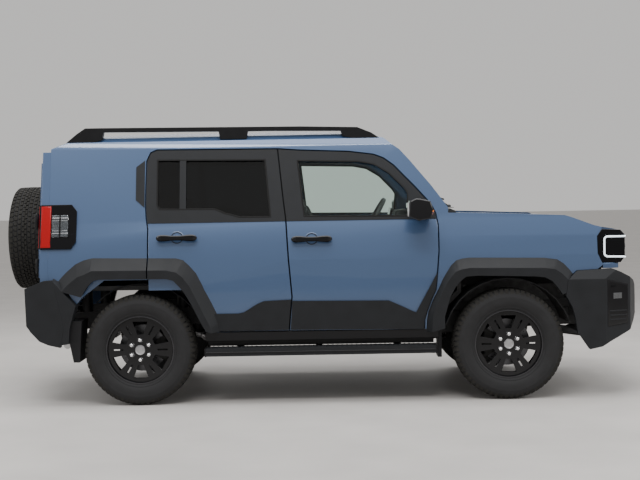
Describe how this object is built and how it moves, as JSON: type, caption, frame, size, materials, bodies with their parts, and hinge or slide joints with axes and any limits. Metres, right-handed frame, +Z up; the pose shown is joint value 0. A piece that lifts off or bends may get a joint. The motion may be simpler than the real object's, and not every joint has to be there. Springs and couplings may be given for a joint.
{
  "type": "lifted off-road 4x4",
  "caption": "Boxy lifted off-road 4x4 with ladder frame, side doors, side-hinged back door carrying the spare wheel, lifting bonnet, steering and free-turning wheels.",
  "frame": {"origin": "on the floor below the middle of the vehicle's box", "axes": "+X forward, +Y to the vehicle's left, +Z up"},
  "size_m": [4.575, 2.1048, 1.9539],
  "materials": {
    "paint": "gloss clearcoat",
    "plastic": "grained",
    "gloss_black": "gloss",
    "underbody": "satin",
    "glass_clear": "clear",
    "glass_dark": "dark tint",
    "lamp": "gloss",
    "rubber": "matte",
    "tyre": "matte",
    "rim": "gloss black",
    "iron": "rough",
    "engine": "rough",
    "fabric": "woven",
    "trim": "grained"
  },
  "bodies": {
    "chassis": {"frame": "underbody", "floor_pan": "underbody", "body_side_l": "paint", "body_side_r": "paint", "roof": "paint", "body_rear": "paint", "front_fenders": "paint", "arch_flares": "plastic", "front_bumper": "plastic", "rear_bumper": "plastic", "grille": "gloss_black", "headlamps": "lamp", "tail_lamps": "lamp", "windscreen": "glass_clear", "roof_rails": "gloss_black", "quarter_trim": "plastic", "side_steps": "plastic", "mud_flaps": "rubber", "wheel_tubs": "trim", "tow_eyes": "iron", "cowl": "trim", "powertrain": "engine", "rear_axle": "iron", "front_suspension": "iron", "seats": "fabric", "dashboard": "trim", "steering_wheel": "trim"},
    "bonnet_lid": {"bonnet": "paint"},
    "door_front_left": {"front_door_l": "paint", "front_door_glass_l": "glass_clear", "front_door_trim_l": "plastic"},
    "door_front_right": {"front_door_r": "paint", "front_door_glass_r": "glass_clear", "front_door_trim_r": "plastic"},
    "door_rear_left": {"rear_door_l": "paint", "rear_door_glass_l": "glass_dark", "rear_door_trim_l": "plastic"},
    "door_rear_right": {"rear_door_r": "paint", "rear_door_glass_r": "glass_dark", "rear_door_trim_r": "plastic"},
    "door_back": {"back_door": "paint", "back_glass": "glass_dark", "spare_rim": "rim", "spare_tyre": "tyre"},
    "knuckle_left": {"knuckle_l": "iron"},
    "knuckle_right": {"knuckle_r": "iron"},
    "wheel_front_left": {"rim_front_left": "rim", "tyre_front_left": "tyre"},
    "wheel_front_right": {"rim_front_right": "rim", "tyre_front_right": "tyre"},
    "wheel_rear_left": {"rim_rear_left": "rim", "tyre_rear_left": "tyre"},
    "wheel_rear_right": {"rim_rear_right": "rim", "tyre_rear_right": "tyre"}
  },
  "joints": [
    {"name": "steer_left", "type": "hinge", "parent": "chassis", "child": "knuckle_left", "pos_m": [1.33, 0.68, 0.3875], "axis": [0, 0, 1], "range_deg": [-32, 32]},
    {"name": "steer_right", "type": "hinge", "parent": "chassis", "child": "knuckle_right", "pos_m": [1.33, -0.68, 0.3875], "axis": [0, 0, 1], "range_deg": [-32, 32]},
    {"name": "wheel_front_left_spin", "type": "hinge", "parent": "knuckle_left", "child": "wheel_front_left", "pos_m": [1.33, 0.7675, 0.3875], "axis": [0, 1, 0], "continuous": true},
    {"name": "wheel_front_right_spin", "type": "hinge", "parent": "knuckle_right", "child": "wheel_front_right", "pos_m": [1.33, -0.7675, 0.3875], "axis": [0, 1, 0], "continuous": true},
    {"name": "wheel_rear_left_spin", "type": "hinge", "parent": "chassis", "child": "wheel_rear_left", "pos_m": [-1.25, 0.7675, 0.3875], "axis": [0, 1, 0], "continuous": true},
    {"name": "wheel_rear_right_spin", "type": "hinge", "parent": "chassis", "child": "wheel_rear_right", "pos_m": [-1.25, -0.7675, 0.3875], "axis": [0, 1, 0], "continuous": true},
    {"name": "front_door_left_open", "type": "hinge", "parent": "chassis", "child": "door_front_left", "pos_m": [0.8455, 0.891, 1], "axis": [0, 0, -1], "range_deg": [0, 65]},
    {"name": "front_door_right_open", "type": "hinge", "parent": "chassis", "child": "door_front_right", "pos_m": [0.8455, -0.891, 1], "axis": [0, 0, 1], "range_deg": [0, 65]},
    {"name": "rear_door_left_open", "type": "hinge", "parent": "chassis", "child": "door_rear_left", "pos_m": [-0.1855, 0.891, 1], "axis": [0, 0, -1], "range_deg": [0, 70]},
    {"name": "rear_door_right_open", "type": "hinge", "parent": "chassis", "child": "door_rear_right", "pos_m": [-0.1855, -0.891, 1], "axis": [0, 0, 1], "range_deg": [0, 70]},
    {"name": "back_door_open", "type": "hinge", "parent": "chassis", "child": "door_back", "pos_m": [-1.96, -0.83, 1.2], "axis": [0, 0, 1], "range_deg": [0, 90]},
    {"name": "bonnet_open", "type": "hinge", "parent": "chassis", "child": "bonnet_lid", "pos_m": [1.01199, 0, 1.29101], "axis": [0, -1, 0], "range_deg": [0, 48]}
  ],
  "couplings": [
    {"joint": "steer_right", "follows": "steer_left", "ratio": 1}
  ]
}
